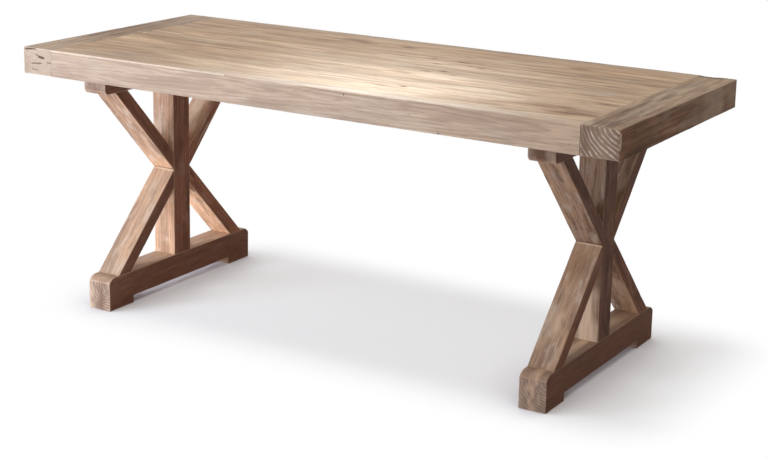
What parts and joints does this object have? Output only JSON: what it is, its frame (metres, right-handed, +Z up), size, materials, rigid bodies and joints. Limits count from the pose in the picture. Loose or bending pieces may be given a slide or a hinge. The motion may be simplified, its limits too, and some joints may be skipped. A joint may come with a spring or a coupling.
{
  "type": "sawbuck trestle table",
  "caption": "Rectangular dining table in bleached reclaimed wood: framed plank top with breadboard ends on two X-braced trestles with centre posts and padded feet.",
  "frame": {"origin": "on the floor under the middle of the top", "axes": "+X along the table's length, +Y from the front edge to the rear edge, +Z up"},
  "size_m": [1.828, 0.764, 0.75],
  "materials": {
    "top_wood": "bleached and weathered, matt",
    "trestle_wood": "weathered, matt",
    "hidden_wood": "planed, unfinished",
    "zinc_steel": "zinc plated, dulled"
  },
  "bodies": {
    "root": {"left_end_board": "top_wood", "right_end_board": "top_wood", "front_rail": "top_wood", "rear_rail": "top_wood", "plank_1": "top_wood", "plank_2": "top_wood", "plank_3": "top_wood", "plank_4": "top_wood", "plank_5": "top_wood", "plank_6": "top_wood", "plank_7": "top_wood", "edge_splines": "hidden_wood", "left_batten": "trestle_wood", "right_batten": "trestle_wood", "left_bearer": "trestle_wood", "left_post": "trestle_wood", "left_front_upper_brace": "trestle_wood", "left_rear_upper_brace": "trestle_wood", "left_front_lower_brace": "trestle_wood", "left_rear_lower_brace": "trestle_wood", "left_foot": "trestle_wood", "left_slip_tenons": "hidden_wood", "left_bearer_bolts": "zinc_steel", "left_bolt_washers": "zinc_steel", "left_threaded_inserts": "zinc_steel", "right_bearer": "trestle_wood", "right_post": "trestle_wood", "right_front_upper_brace": "trestle_wood", "right_rear_upper_brace": "trestle_wood", "right_front_lower_brace": "trestle_wood", "right_rear_lower_brace": "trestle_wood", "right_foot": "trestle_wood", "right_slip_tenons": "hidden_wood", "right_bearer_bolts": "zinc_steel", "right_bolt_washers": "zinc_steel", "right_threaded_inserts": "zinc_steel"}
  },
  "joints": []
}
